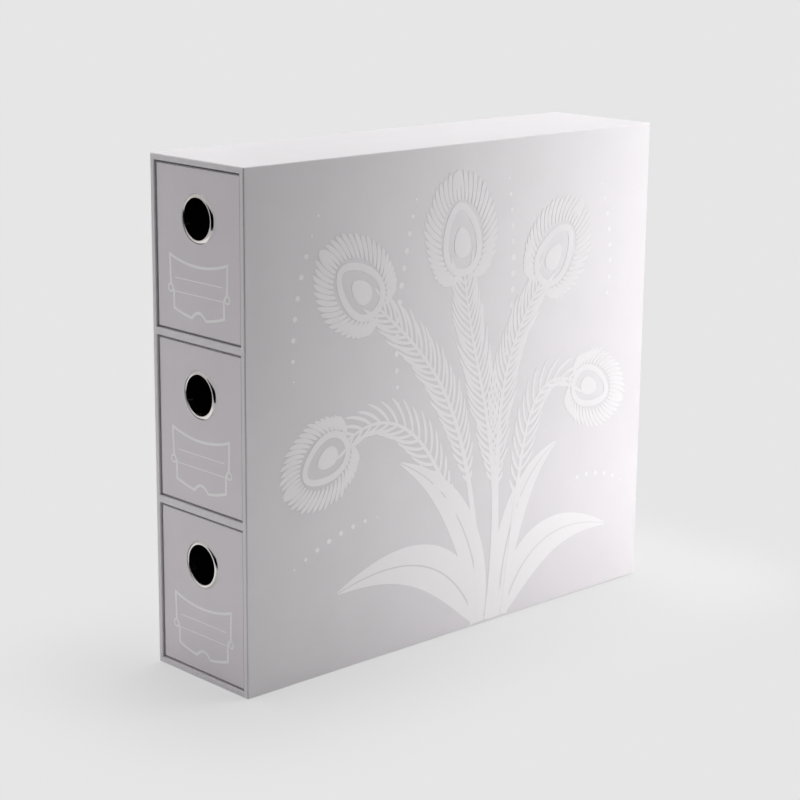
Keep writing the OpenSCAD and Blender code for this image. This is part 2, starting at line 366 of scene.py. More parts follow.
@dataclass(frozen=True)
class WhiteCoveringPaper:
    """Art paper with a matt film, glued round greyboard.

    The film gives a dull, even sheen, and the board under it shows through as a faint unevenness. Along
    the folds the colour changes: on the case a touch paler, a painted highlight, and on the drawers grey,
    painted shade along their edges.

    Attributes:
        folds: the box that the paper wraps.
        colour: the paper's white, slightly violet, partly its own tint and partly a painted tint of the
            front light.
        fold_core: share of a fold line's width in which it is whole.
        fold_least: what is left of the line between fibres, where the noise is at fold_span's start.
        roughness: of the matt film.
        play: how much rougher and smoother the fibres make it.
        index: the film's index of refraction.
        fibre_mm: spacing of the paper's fibres, drawn four times coarser than real so that it shows.
        fibre_span: the noise that makes the darkest and the palest of them, with fibre_shades.
        board_mm: spacing of the board's unevenness, with board_span and board_shades alike.
    """

    name: str
    folds: Folds
    colour: str = "#DFDBDE"
    # a touch paler than the paper: painted highlight along the case's folds
    painted_fold_colour: str = "#E5E2E4"
    fold_mm: float = 1.3
    fold_core: float = 0.25
    fold_span: Pair = (0.25, 0.6)
    fold_least: float = 0.55
    roughness: float = 0.44
    play: float = 0.05
    index: float = 1.49
    fibre_mm: float = 1.1
    fibre_span: Pair = (0.25, 0.75)
    fibre_shades: Pair = (0.985, 1.012)
    fibre_relief: Relief = Relief(0.35, 0.02)
    board_mm: float = 26.0
    board_span: Pair = (0.3, 0.7)
    board_shades: Pair = (0.985, 1.01)
    board_relief: Relief = Relief(0.25, 0.05)

    def build(self) -> Material:
        """Builds the finish.

        Returns:
            The material.
        """
        nodes = Shading.of_material(self.name)
        point = nodes.point()
        fibre = nodes.noise(point, self.fibre_mm, detail=3.0, roughness=0.6)
        board = nodes.noise(point, self.board_mm)
        tone = nodes.fit(board, self.board_span, self.board_shades)
        fleck = nodes.fit(fibre, self.fibre_span, self.fibre_shades)
        paper = nodes.blend(self._painted_fold_mask(nodes, point, fibre), self.colour, self.painted_fold_colour)
        colour = nodes.shaded(paper, nodes.maths("MULTIPLY", tone, fleck))
        dull = nodes.fit(fibre, target=(self.roughness - self.play, self.roughness + self.play))
        uneven = nodes.bump(board, self.board_relief)
        grain = nodes.bump(fibre, self.fibre_relief, Normal=uneven)
        return nodes.principled(colour, dull, IOR=self.index, Normal=grain)

    def _painted_fold_mask(self, nodes: Shading, point: Socket, fibre: Socket) -> Socket:
        """Adds a mask that is 1 on the folds.

        On a face of the box one of the three distances to the box's planes is nothing, so the middle one
        of the three is the distance to the nearest fold. Along it the fold colour paints a highlight on
        the case and shade on the drawers.

        Args:
            nodes: the material's nodes.
            point: the point that is shaded.
            fibre: noise that breaks the line up.

        Returns:
            The mask.
        """
        across = nodes.vectors("ABSOLUTE", nodes.vectors("SUBTRACT", point, self.folds.centre))
        x, y, z = nodes.axes(nodes.vectors("SUBTRACT", self.folds.half, across))
        less, more = nodes.maths("MINIMUM", x, y), nodes.maths("MAXIMUM", x, y)
        middle = nodes.maths("MAXIMUM", less, nodes.maths("MINIMUM", more, z))
        width = self.fold_mm * MM
        near = nodes.fit(middle, (self.fold_core * width, width), (1.0, 0.0), smooth=True)
        broken = nodes.fit(fibre, self.fold_span, (self.fold_least, 1.0))
        return nodes.maths("MULTIPLY", near, broken)


@dataclass(frozen=True)
class ScreenPrintedWhite:
    """Opaque white ink, screen printed on the matt film.

    The ink is whiter than the paper, so the print shows tone on tone. Towards the rear of the box its
    white is darker, painted shade where the light is brighter, and the print grows faint.

    Attributes:
        colour: the ink's white at the front of the box.
        rear_shade_colour: the ink at the rear, darker as painted shade.
        rear_shade_mm: where along the depth the painted shade starts, and where it is darkest.
        roughness: of the dried ink.
        play: how much rougher and smoother the mesh leaves it.
        index: the ink's index of refraction.
        mesh_mm: spacing of the screen's mesh, drawn coarser than real so that it shows.
        mesh_span: the noise that makes the darkest and the palest of it, with mesh_shades.
    """

    colour: str = "#FAF8F9"
    # darker towards the rear: painted shade where the rear lamp lights the side brighter
    rear_shade_colour: str = "#EEEBED"
    rear_shade_mm: Pair = (-130.0, 130.0)
    roughness: float = 0.6
    play: float = 0.06
    index: float = 1.3
    mesh_mm: float = 1.4
    mesh_span: Pair = (0.3, 0.7)
    mesh_shades: Pair = (0.975, 1.0)

    def build(self) -> Material:
        """Builds the finish.

        Returns:
            The material.
        """
        nodes = Shading.of_material("screen_printed_white")
        point = nodes.point()
        film = nodes.noise(point, self.mesh_mm)
        # the ink's white darkens towards the rear: painted shade
        rearward = nodes.fit(nodes.axes(point)["Y"], [mm * MM for mm in self.rear_shade_mm])
        ink = nodes.blend(rearward, self.colour, self.rear_shade_colour)
        colour = nodes.shaded(ink, nodes.fit(film, self.mesh_span, self.mesh_shades))
        dull = nodes.fit(film, target=(self.roughness - self.play, self.roughness + self.play))
        return nodes.principled(colour, dull, IOR=self.index)


@dataclass(frozen=True)
class BlackLiningPaper:
    """Uncoated paper dyed black through.

    It drinks the light, with fibres that lie a little greyer on its face.

    Attributes:
        colour: the dyed paper.
        fibre_colour: a fibre on its face.
        fibre_mm: spacing of the fibres.
        fibre_draw: scale of the noise along each axis, so that they run along the box's depth.
        fibre_span: the noise at which one begins to show, and at which it is plain.
        relief: how they stand up.
        roughness: of the uncoated face.
        index: its index of refraction.
    """

    colour: str = "#393639"
    fibre_colour: str = "#4B484B"
    fibre_mm: float = 0.9
    fibre_draw: Triple = (1.0, 0.35, 1.0)
    fibre_span: Pair = (0.52, 0.72)
    relief: Relief = Relief(0.4, 0.03)
    roughness: float = 0.88
    index: float = 1.45

    def build(self) -> Material:
        """Builds the finish.

        Returns:
            The material.
        """
        nodes = Shading.of_material("black_lining_paper")
        along = nodes.out("ShaderNodeMapping", {"Vector": nodes.point(), "Scale": self.fibre_draw})
        fibre = nodes.noise(along, self.fibre_mm, detail=4.0, Distortion=0.6)
        colour = nodes.blend(nodes.fit(fibre, self.fibre_span), self.colour, self.fibre_colour)
        grain = nodes.bump(fibre, self.relief)
        return nodes.principled(colour, self.roughness, IOR=self.index, Normal=grain)


@dataclass(frozen=True)
class Greyboard:
    """Bookbinder's board pressed from waste paper.

    A dull brown grey with darker specks of the old paper in it.

    Attributes:
        colour: the board.
        speck_colour: its dark specks.
        speck_mm: spacing of the specks.
        speck_span: the noise at which one begins to show, and at which it is plain.
        relief: how they stand up.
        roughness: of the bare board.
        index: its index of refraction.
    """

    colour: str = "#A09A8F"
    speck_colour: str = "#6E685F"
    speck_mm: float = 1.8
    speck_span: Pair = (0.55, 0.75)
    relief: Relief = Relief(0.5, 0.08)
    roughness: float = 0.92
    index: float = 1.45

    def build(self) -> Material:
        """Builds the finish.

        Returns:
            The material.
        """
        nodes = Shading.of_material("greyboard")
        pulp = nodes.noise(nodes.point(), self.speck_mm, detail=5.0, roughness=0.7)
        colour = nodes.blend(nodes.fit(pulp, self.speck_span), self.colour, self.speck_colour)
        grain = nodes.bump(pulp, self.relief)
        return nodes.principled(colour, self.roughness, IOR=self.index, Normal=grain)


@dataclass(frozen=True)
class PlatedSteel:
    """Sheet steel with a bright nickel and chrome plating.

    A near mirror, with faint hazy patches from handling.

    Attributes:
        colour: the plating.
        roughness: of the polished plating.
        haze_mm: spacing of the hazy patches.
        haze_span: the noise that makes the smoothest and the roughest of them.
        haze_roughness: how rough these two are, as shares of the roughness.
        haze_shade: how much darker they are.
    """

    name: str
    colour: str = "#C6C2C0"
    roughness: float = 0.13
    haze_mm: float = 5.0
    haze_span: Pair = (0.35, 0.7)
    haze_roughness: Pair = (0.7, 1.5)
    haze_shade: float = 0.94

    def build(self) -> Material:
        """Builds the finish.

        Returns:
            The material.
        """
        nodes = Shading.of_material(self.name)
        haze = nodes.noise(nodes.point(), self.haze_mm, detail=4.0)
        dull = nodes.fit(haze, self.haze_span, [self.roughness * share for share in self.haze_roughness])
        colour = nodes.shaded(linear(self.colour)[:3], nodes.fit(haze, target=(1.0, self.haze_shade)))
        return nodes.principled(colour, dull, Metallic=1.0)


@dataclass
class Finishes:
    """Every material of the box, built once."""

    case_paper: Material = field(init=False)
    drawer_papers: dict[Level, Material] = field(init=False)
    ink: Material = field(init=False)
    lining: Material = field(init=False)
    board: Material = field(init=False)
    ring: Material = field(init=False)
    washer: Material = field(init=False)

    def __post_init__(self) -> None:
        """Builds the materials."""
        # the case keeps the paler fold colour, a painted highlight along its folds
        self.case_paper = WhiteCoveringPaper("white_covering_paper_case", Folds.of("case_wrap")).build()
        self.drawer_papers = {
            level: WhiteCoveringPaper(
                f"white_covering_paper_{level.drawer}",
                Folds.of(f"{level.drawer}_wrap"),
                # a touch more violet than the case's paper: painted tint of the light on the fronts
                colour="#DFD9DE",
                # grey along the drawers' folds: painted shade on their edges
                painted_fold_colour="#8A8689",
                fold_mm=1.2,
            ).build()
            for level in Level
        }
        self.ink = ScreenPrintedWhite().build()
        self.lining = BlackLiningPaper().build()
        self.board = Greyboard().build()
        self.ring = PlatedSteel("chrome_plated_ring").build()
        zinc = {"colour": "#C4C6C8", "roughness": 0.32, "haze_mm": 2.5}
        self.washer = PlatedSteel("zinc_plated_washer", **zinc).build()


# Prints


@dataclass(frozen=True)
class PrintPlace:
    """An upright flat face that carries a print.

    Attributes:
        body: name of the CAD body that the face belongs to.
        origin: a point on the face, in metres.
        across: direction of the print's X axis, along the face.
        ink_mm: how far the ink stands on the paper.
        sunk_mm: how far the ink's underside reaches into it.
    """

    body: str
    origin: Vector
    across: Vector
    ink_mm: float = 0.04
    sunk_mm: float = 0.02

    def matrix(self) -> Matrix:
        """Returns what takes the print from its own plane to its place on the box."""
        turn = Matrix((self.across, UP, self.across.cross(UP))).transposed()
        return Matrix.Translation(self.origin) @ turn.to_4x4()


def put_print(place: PrintPlace, name: str, mesh: Mesh, ink: Material) -> None:
    """Lays a flat printed shape on the box.

    Args:
        place: the face that carries it.
        name: the piece's name.
        mesh: the shape, drawn in its own plane.
        ink: its material.
    """
    mesh.transform(place.matrix())
    piece = add_object(name, mesh)
    dress(piece, ink)
    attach(piece, place.body)
    log.info("%s: printed on %s, %d faces", name, place.body, len(mesh.polygons))


def offset_outline(points: Sequence[Point], distance: float, sharpest: float = 0.45) -> list[Point]:
    """Moves a closed outline sideways, with mitred corners.

    Args:
        points: the outline, counter-clockwise.
        distance: how far it moves outwards, or inwards where negative.
        sharpest: cosine of half the turn beyond which a mitre grows no longer.

    Returns:
        As many points as were given.
    """
    moved = []
    count = len(points)
    for i, here in enumerate(points):
        before, after = Vector(points[i - 1]), Vector(points[(i + 1) % count])
        entering = (Vector(here) - before).normalized()
        leaving = (after - Vector(here)).normalized()
        sides = [Vector((d.y, -d.x)) for d in (entering, leaving)]
        mitre = (sides[0] + sides[1]).normalized()
        reach = distance / max(mitre.dot(sides[0]), sharpest)
        moved.append((here[0] + mitre.x * reach, here[1] + mitre.y * reach))
    return moved


def circle(centre: Point, radius: float, sides: int) -> list[Point]:
    """Returns the corners of a round outline, counter-clockwise."""
    angles = [math.tau * i / sides for i in range(sides)]
    return [(centre[0] + radius * math.cos(a), centre[1] + radius * math.sin(a)) for a in angles]


def sagging(start: Point, end: Point, sag: float, steps: int) -> list[Point]:
    """Returns points along a hanging curve between two points.

    Args:
        start: first point.
        end: last point.
        sag: how far its middle hangs below the straight line; a rising curve has a negative sag.
        steps: number of stretches between points.

    Returns:
        The points, with both ends.
    """
    curve = []
    for i in range(steps + 1):
        t = i / steps
        drop = sag * 4 * t * (1 - t)
        curve.append((start[0] + (end[0] - start[0]) * t, start[1] + (end[1] - start[1]) * t - drop))
    return curve


@dataclass(frozen=True)
class LabelFrame:
    """Printed frame for a drawer's label, in the shape of a small banner with two ruled lines.

    Its origin is the middle of the frame's upper edge, between the two upper corners.

    Attributes:
        width_mm: of the upper edge, which sags by sag_mm.
        loop_drop_mm: how far the loops at the sides lie below it.
        loop_inset_mm: how far a loop's middle lies inside the frame's corner.
        loop_stroke: width of a loop's stroke, as a share of the frame's.
        shoulder_mm: points of the right side, inwards from the corner and up from the loop's middle.
        step_mm: how much narrower the banner is below the loops.
        lower_corner_mm: how far its lower corners lie down.
        point_mm: how far the points on both sides of the notch lie down.
        arch_mm: height of the arch in the notch.
        lift_mm: how much higher the loops' ink lies where it crosses the frame's.
        steps: stretches along a long curve, and half as many as round a loop.
    """

    width_mm: float = 55.8
    sag_mm: float = 4.8
    loop_drop_mm: float = 20.8
    loop_radius_mm: float = 2.3
    loop_inset_mm: float = 0.4
    loop_stroke: float = 0.7
    shoulder_mm: tuple[Point, ...] = ((3.6, -1.6), (2.9, 0.0), (0.6, 3.2))
    step_mm: float = 3.6
    lower_corner_mm: float = 32.9
    lower_sag_mm: float = 0.5
    point_mm: float = 36.9
    notch_mm: float = 13.6
    arch_mm: float = 4.0
    stroke_mm: float = 1.8
    line_drops_mm: Pair = (13.9, 22.5)
    line_length_mm: float = 46.0
    line_width_mm: float = 0.7
    lift_mm: float = 0.006
    steps: int = 20
    short_steps: int = 8

    def _outline(self) -> list[Point]:
        """Lays out the middle of the frame's stroke.

        Returns:
            Its points, counter-clockwise, in millimetres.
        """
        half, notch = self.width_mm / 2, self.notch_mm / 2
        corner, point = (self.step_mm - half, -self.lower_corner_mm), (-notch, -self.point_mm)
        bottom = sagging(corner, point, self.lower_sag_mm, self.short_steps)
        arch = sagging(point, (notch, -self.point_mm), -self.arch_mm, self.steps)
        right = [(-x, y) for x, y in reversed(bottom)]
        top = sagging((half, 0.0), (-half, 0.0), self.sag_mm, self.steps)
        right_side = [(half - x, y - self.loop_drop_mm) for x, y in self.shoulder_mm]
        left_side = [(-x, y) for x, y in reversed(right_side)]
        return [*bottom[:-1], *arch, *right[1:], *right_side, *top, *left_side]

    def mesh(self, place: PrintPlace) -> Mesh:
        """Builds the frame, its two loops and its ruled lines.

        Args:
            place: the drawer front that carries it.

        Returns:
            The mesh, in the print's own plane.
        """
        middle = self._outline()
        stroke = self.stroke_mm / 2
        slabs = [Slab(offset_outline(middle, stroke), offset_outline(middle, -stroke))]
        for side in (-1, 1):
            centre = (side * (self.width_mm / 2 - self.loop_inset_mm), -self.loop_drop_mm)
            radii = [self.loop_radius_mm + reach * self.loop_stroke for reach in (stroke, -stroke)]
            slabs.append(Slab(*(circle(centre, radius, 2 * self.steps) for radius in radii), self.lift_mm))
        for drop in self.line_drops_mm:
            x, y = self.line_length_mm / 2, self.line_width_mm / 2
            slabs.append(Slab([(-x, -drop - y), (x, -drop - y), (x, -drop + y), (-x, -drop + y)]))
        return slab_mesh("label_frame", slabs, -place.sunk_mm, place.ink_mm)


# A barb of length 1 along X, as start, middle and end of a bowed curve, and the stretches along it
QUILL_BARB = ((0, 0, 0), (0.5, 0.05, 0), (1.0, -0.28, 0))
EYE_BARB = ((0, 0, 0), (0.5, 0.04, 0), (1.0, -0.2, 0))
BARB_STEPS = 8

# Width of a stroke along it, or size of what stands along a curve, as shares of the greatest
QUILL_TAPER = ((0, 1.0), (0.45, 0.5), (1, 0.24))
QUILL_BARB_TAPER = ((0, 0.6), (0.4, 1.0), (0.8, 0.75), (1, 0.08))
EYE_BARB_TAPER = ((0, 0.45), (0.5, 1.0), (0.85, 0.8), (1, 0.1))
BARB_SWELL = ((0.0, 0.3), (0.2, 0.72), (0.6, 1.0), (1.0, 0.78))
DOT_SWELL = ((0, 0.35), (0.5, 1.0), (1, 0.35))

# Inputs of both trees that print barbs
BARB_SIZES = ("Barb Length", "Barb Width", "Ink Step")
BARB_COUNTS = ("Barbs", "Seed")


@dataclass
class InkTree(Nodes):
    """Geometry node tree that prints flat strokes of ink, the ground of the trees below.

    Attributes:
        name: the tree's name.
        sizes: its number inputs, in metres, radians or shares.
        counts: its whole number inputs.
        points: its vector inputs.
        given: what comes in through these inputs.
    """

    name: str
    sizes: tuple[str, ...]
    counts: tuple[str, ...]
    points: tuple[str, ...] = ()
    given: object = field(init=False)

    def __post_init__(self) -> None:
        """Makes the tree and its inputs."""
        self.tree = bpy.data.node_groups.new(self.name, "GeometryNodeTree")
        kinds = {
            "NodeSocketFloat": (*self.sizes, "Ink Height", "Ink Depth"),
            "NodeSocketInt": self.counts,
            "NodeSocketVector": self.points,
            "NodeSocketMaterial": ("Ink",),
        }
        for kind, names in kinds.items():
            for name in names:
                self.tree.interface.new_socket(name, in_out="INPUT", socket_type=kind)
        self.tree.interface.new_socket("Geometry", in_out="OUTPUT", socket_type="NodeSocketGeometry")
        self.given = self.add("NodeGroupInput").outputs

    def shaped(self, value: Socket, points: Sequence[Point]) -> Socket:
        """Bends a value from 0 to 1 along a curve.

        Args:
            value: the value.
            points: the curve's points from left to right.

        Returns:
            The bent value.
        """
        node = self.add("ShaderNodeFloatCurve", {"Value": value})
        curve = node.mapping.curves[0]
        for x, y in points[1:-1]:
            curve.points.new(x, y)
        curve.points[0].location = points[0]
        curve.points[len(curve.points) - 1].location = points[-1]
        node.mapping.update()
        return node.outputs["Value"]

    def along(self) -> Socket:
        """Returns how far along its curve a point lies, from 0 to 1."""
        return self.out("GeometryNodeSplineParameter")

    def bow(self, steps: int, start: object, middle: object, end: object) -> Socket:
        """Adds a bowed curve from start to end, drawn towards middle."""
        ends = {"Start": start, "Middle": middle, "End": end}
        return self.out("GeometryNodeCurveQuadraticBezier", {"Resolution": steps, **ends})

    def spaced(self, curve: Socket, count: object) -> Socket:
        """Spaces a number of points evenly along a curve."""
        return self.out("GeometryNodeResampleCurve", {"Curve": curve, "Count": count})

    def jitter(self, spread: float) -> Socket:
        """Adds a number between -spread and spread for each point, from the tree's own seed."""
        limits = {"Min": -spread, "Max": spread, "Seed": self.given["Seed"]}
        return self.out("FunctionNodeRandomValue", limits, 1, data_type="FLOAT")

    def stepped(self, points: Socket, levels: int, offset: float) -> Socket:
        """Raises points one after another by steps of ink, so that neighbouring strokes don't share a face.

        Args:
            points: the points.
            levels: number of steps after which they start again.
            offset: added to all, in steps.

        Returns:
            The raised points.
        """
        index = self.out("GeometryNodeInputIndex")
        steps = self.maths("ADD", self.maths("MODULO", index, float(levels)), offset)
        rise = self.vector(Z=self.maths("MULTIPLY", steps, self.given["Ink Step"]))
        return self.out("GeometryNodeSetPosition", {"Geometry": points, "Offset": rise})

    def barbs(self, points: Socket, blade: Socket, heading: Socket, length: Socket, side: object) -> Socket:
        """Sets a barb on each point.

        Args:
            points: where the barbs begin.
            blade: curve of a barb of length 1, along X.
            heading: direction of each, in radians.
            length: length of each.
            side: 1, or -1 where the blade is mirrored.

        Returns:
            The barbs' middle lines.
        """
        size = self.vector(X=length, Y=self.maths("MULTIPLY", length, side), Z=1.0)
        inputs = {"Points": points, "Instance": blade, "Rotation": self.vector(Z=heading), "Scale": size}
        placed = self.out("GeometryNodeInstanceOnPoints", inputs)
        return self.out("GeometryNodeRealizeInstances", {"Geometry": placed})

    def stroke(self, curve: Socket, width: Socket, taper: Sequence[Point], lift: object = 0.0) -> Socket:
        """Turns flat curves into slabs of ink with closed ends.

        A curve's own height above the print's plane is kept as a step in the ink, so slabs that cross
        don't share a face.

        Args:
            curve: the slabs' middle lines.
            width: their full width.
            taper: their width along the line, as a share.
            lift: how much higher than the rest their faces lie.

        Returns:
            The slabs' mesh.
        """
        place = self.out("GeometryNodeInputPosition")
        kept = self.add("GeometryNodeCaptureAttribute")
        kept.capture_items.new("FLOAT", "Step")
        upright = self.out("GeometryNodeSetCurveNormal", {"Curve": curve}, mode="Z_UP")
        self.tree.links.new(upright, kept.inputs["Geometry"])
        self.tree.links.new(self.axes(place)["Z"], kept.inputs["Step"])
        step = kept.outputs["Step"]
        height = self.given["Ink Height"]
        section = self.out("GeometryNodeCurvePrimitiveQuadrilateral", {"Width": width, "Height": height})
        line = {"Curve": kept.outputs["Geometry"], "Scale": self.shaped(self.along(), taper)}
        slab = self.out("GeometryNodeCurveToMesh", {**line, "Profile Curve": section, "Fill Caps": True})
        x, y, z = self.axes(place)
        under = self.maths("MULTIPLY", self.given["Ink Depth"], -1.0)
        over = self.maths("ADD", self.maths("ADD", height, step), lift)
        level = self.fit(self.maths("GREATER_THAN", z, step), target=(under, over))
        flat = self.vector(X=x, Y=y, Z=level)
        return self.out("GeometryNodeSetPosition", {"Geometry": slab, "Position": flat})

    def finish(self, *parts: Socket) -> NodeTree:
        """Joins the parts, gives them their ink and ends the tree.

        Args:
            parts: meshes of the tree.

        Returns:
            The tree.
        """
        joined = self.add("GeometryNodeJoinGeometry")
        for part in parts:
            self.tree.links.new(part, joined.inputs["Geometry"])
        real = self.out("GeometryNodeRealizeInstances", {"Geometry": joined.outputs["Geometry"]})
        flat = self.out("GeometryNodeSetShadeSmooth", {"Geometry": real, "Shade Smooth": False})
        inked = self.out("GeometryNodeSetMaterial", {"Geometry": flat, "Material": self.given["Ink"]})
        self.add("NodeGroupOutput", {"Geometry": inked})
        return self.tree


def feather_tree(
    levels: int = 4, end: float = 0.97, turn_play: float = 0.04, length_play: float = 0.07, steps: int = 48
) -> NodeTree:
    """Builds the tree of one feather's quill, with loose barbs on both sides.

    Args:
        levels: number of steps of ink that the barbs take up.
        end: how far along the quill they reach, as a share.
        turn_play: how far a barb may turn aside, in radians.
        length_play: how much its length may differ, as a share.
        steps: stretches along the quill.

    Returns:
        The tree, whose points are those of the quill's curve.
    """
    ink = InkTree(
        "feather",
        sizes=("Bare Quill", "Root Angle", "Tip Angle", "Quill Width", *BARB_SIZES),
        counts=BARB_COUNTS,
        points=("Root", "Root Handle", "Tip Handle", "Tip"),
    )
    given = ink.given
    ends = {"Start": "Root", "Start Handle": "Root Handle", "End Handle": "Tip Handle", "End": "Tip"}
    quill = ink.out(
        "GeometryNodeCurvePrimitiveBezierSegment",
        {"Resolution": steps, **{socket: given[name] for socket, name in ends.items()}},
    )
    feathered = ink.out("GeometryNodeTrimCurve", {"Curve": quill, "Start": given["Bare Quill"], "End": end})
    roots = ink.spaced(feathered, given["Barbs"])
    blade = ink.bow(BARB_STEPS, *QUILL_BARB)
    along = ink.along()
    tx, ty, _ = ink.axes(ink.out("GeometryNodeInputTangent"))
    forward = ink.maths("ARCTAN2", ty, tx)
    sweep = ink.fit(along, target=(given["Root Angle"], given["Tip Angle"]))
    swell = ink.shaped(along, BARB_SWELL)
    parts = []
    for side, offset in ((-1.0, 0.0), (1.0, 0.5)):
        heading = ink.maths("MULTIPLY_ADD", ink.maths("ADD", sweep, ink.jitter(turn_play)), side, forward)
        share = ink.maths("ADD", swell, ink.jitter(length_play))
        length = ink.maths("MULTIPLY", given["Barb Length"], share)
        curves = ink.barbs(ink.stepped(roots, levels, offset), blade, heading, length, side)
        parts.append(ink.stroke(curves, given["Barb Width"], QUILL_BARB_TAPER))
    above = ink.maths("MULTIPLY", given["Ink Step"], float(levels))
    stem = ink.stroke(ink.spaced(quill, steps), given["Quill Width"], QUILL_TAPER, lift=above)
    return ink.finish(*parts, stem)


def fringe_tree(levels: int = 3, least: float = 0.7, length_play: float = 0.06) -> NodeTree:
    """Builds the tree of the fan of barbs round a feather's eye.

    The eye lies along X, with its quill coming in from the negative side.

    Args:
        levels: number of steps of ink that the barbs take up.
        least: length of the barbs at the quill, as a share of those in front.
        length_play: how much a barb's length may differ, as a share.

    Returns:
        The tree.
    """
    ink = InkTree(
        "eye_fringe",
        sizes=("Half Length", "Half Width", "Opening", "Spread", "Base", *BARB_SIZES),
        counts=BARB_COUNTS,
    )
    given = ink.given
    last = ink.maths("SUBTRACT", given["Barbs"], 1.0)
    reach = ink.maths("SUBTRACT", math.pi, given["Opening"])
    whole, start = (ink.maths("MULTIPLY", reach, times) for times in (2.0, -1.0))
    share = ink.maths("DIVIDE", ink.out("GeometryNodeInputIndex"), last)
    angle = ink.maths("MULTIPLY_ADD", share, whole, start)
    x = ink.maths("MULTIPLY", ink.maths("COSINE", angle), given["Half Length"])
    y = ink.maths("MULTIPLY", ink.maths("SINE", angle), given["Half Width"])
    place = ink.vector(X=x, Y=y, Z=given["Base"])
    ring = ink.out("GeometryNodePoints", {"Count": given["Barbs"], "Position": place, "Radius": 0.001})
    px, py, _ = ink.axes(ink.out("GeometryNodeInputPosition"))
    rise, run = ink.maths("DIVIDE", py, given["Half Width"]), ink.maths("DIVIDE", px, given["Half Length"])
    around = ink.maths("ARCTAN2", rise, run)
    forward = ink.maths("COSINE", ink.maths("MULTIPLY", around, 0.5))
    share = ink.maths("ADD", ink.maths("MULTIPLY_ADD", forward, 1 - least, least), ink.jitter(length_play))
    curves = ink.barbs(
        ink.stepped(ring, levels, 0.0),
        ink.bow(BARB_STEPS, *EYE_BARB),
        ink.maths("MULTIPLY", around, given["Spread"]),
        ink.maths("MULTIPLY", given["Barb Length"], share),
        ink.maths("SIGN", around),
    )
    return ink.finish(ink.stroke(curves, given["Barb Width"], EYE_BARB_TAPER))


def dot_tree(sides: int = 20, path_steps: int = 32) -> NodeTree:
    """Builds the tree of a trail of dots that grow and shrink along a curve.

    Args:
        sides: edges round a dot.
        path_steps: stretches along the curve.

    Returns:
        The tree.
    """
    ink = InkTree("dot_trail", sizes=("Dot Width",), counts=("Dots",), points=("Start", "Middle", "End"))
    given = ink.given
    path = ink.bow(path_steps, given["Start"], given["Middle"], given["End"])
    width = ink.maths("MULTIPLY", given["Dot Width"], ink.shaped(ink.along(), DOT_SWELL))
    height = ink.maths("ADD", given["Ink Height"], given["Ink Depth"])
    size = ink.vector(X=width, Y=width, Z=height)
    dot = ink.out("GeometryNodeMeshCylinder", {"Vertices": sides, "Radius": 0.5, "Depth": 1.0})
    inputs = {"Points": ink.spaced(path, given["Dots"]), "Instance": dot, "Scale": size}
    placed = ink.out("GeometryNodeInstanceOnPoints", inputs)
    rise = ink.maths("MULTIPLY", ink.maths("SUBTRACT", given["Ink Height"], given["Ink Depth"]), 0.5)
    moved = {"Geometry": placed, "Translation": ink.vector(Z=rise)}
    return ink.finish(ink.out("GeometryNodeTransform", moved))


def grow(tree: NodeTree, values: dict[str, object]) -> Mesh:
    """Runs a geometry node tree and keeps its result.

    Args:
        tree: the tree.
        values: the name of each of its inputs, with the value that it gets.

    Returns:
        A plain mesh.
    """
    carrier = add_object("carrier", bpy.data.meshes.new("carrier"))
    modifier = carrier.modifiers.new(tree.name, "NODES")
    modifier.node_group = tree
    for item in tree.interface.items_tree:
        if item.in_out == "INPUT":
            modifier[item.identifier] = values[item.name]
    evaluated = carrier.evaluated_get(bpy.context.evaluated_depsgraph_get())
    mesh = bpy.data.meshes.new_from_object(evaluated)
    bpy.data.objects.remove(carrier)
    return mesh


def ray(heading_deg: float) -> Vector:
    """Returns a flat direction of length 1, given by its angle from X."""
    return Vector((math.cos(math.radians(heading_deg)), math.sin(math.radians(heading_deg))))


def teardrop(
    centre: Vector, heading_deg: float, length: float, width: float, nose: float = 0.2, steps: int = 40
) -> list[Point]:
    """Returns an oval that narrows towards its front.

    Args:
        centre: its middle.
        heading_deg: direction of its front.
        length: from back to front.
        width: across.
        nose: share of its width by which the front is narrower and the back wider.
        steps: number of its points.

    Returns:
        The outline, counter-clockwise.
    """
    ahead = ray(heading_deg)
    aside = Vector((-ahead.y, ahead.x))
    outline = []
    for i in range(steps):
        t = math.tau * i / steps
        x, y = length / 2 * math.cos(t), width / 2 * math.sin(t) * (1 - nose * math.cos(t))
        outline.append(tuple(centre + ahead * x + aside * y))
    return outline


@dataclass(frozen=True)
class Leaf:
    """One long leaf of the side print, in millimetres from the panel's lower front corner.

    Attributes:
        root: its foot.
        bend: the point that its rib bows towards.
        tip: its point.
        share: its width, as a share of the widest leaf's.
        rib_taper: share of the rib's bare width that is gone at the tip.
        least_mm: width that a half keeps up to the tip.
        fullness: exponents of the width's course, for how low its widest place lies and how round it is.
        steps: number of stretches along each edge.
    """

    root: Point
    bend: Point
    tip: Point
    share: float
    rib_taper: float = 0.6
    least_mm: float = 0.3
    fullness: Pair = (0.75, 0.9)
    steps: int = 28

    def half(self, width: float, side: int, gap: float) -> Slab:
        """Draws half of the leaf, on one side of its rib.

        Args:
            width: greatest half-width of the widest leaf.
            side: 1 for the left half, seen from the root, and -1 for the right one.
            gap: half of the bare width of the rib.

        Returns:
            The half.
        """
        edges: tuple[list[Point], list[Point]] = ([], [])
        a, b, c = Vector(self.root), Vector(self.bend), Vector(self.tip)
        skew, bluntness = self.fullness
        for i in range(self.steps + 1):
            t = i / self.steps
            spot = a * (1 - t) ** 2 + b * 2 * t * (1 - t) + c * t**2
            way = ((b - a) * (1 - t) + (c - b) * t).normalized()
            out = Vector((-way.y, way.x)) * side
            inner = gap * (1 - self.rib_taper * t)
            full = gap + width * self.share * math.sin(math.pi * t**skew) ** bluntness
            for edge, reach in zip(edges, (inner, max(full, inner + self.least_mm))):
                edge.append(tuple(spot + out * reach))
        outline = edges[0] + edges[1][::-1]
        return Slab(outline if side < 0 else outline[::-1])


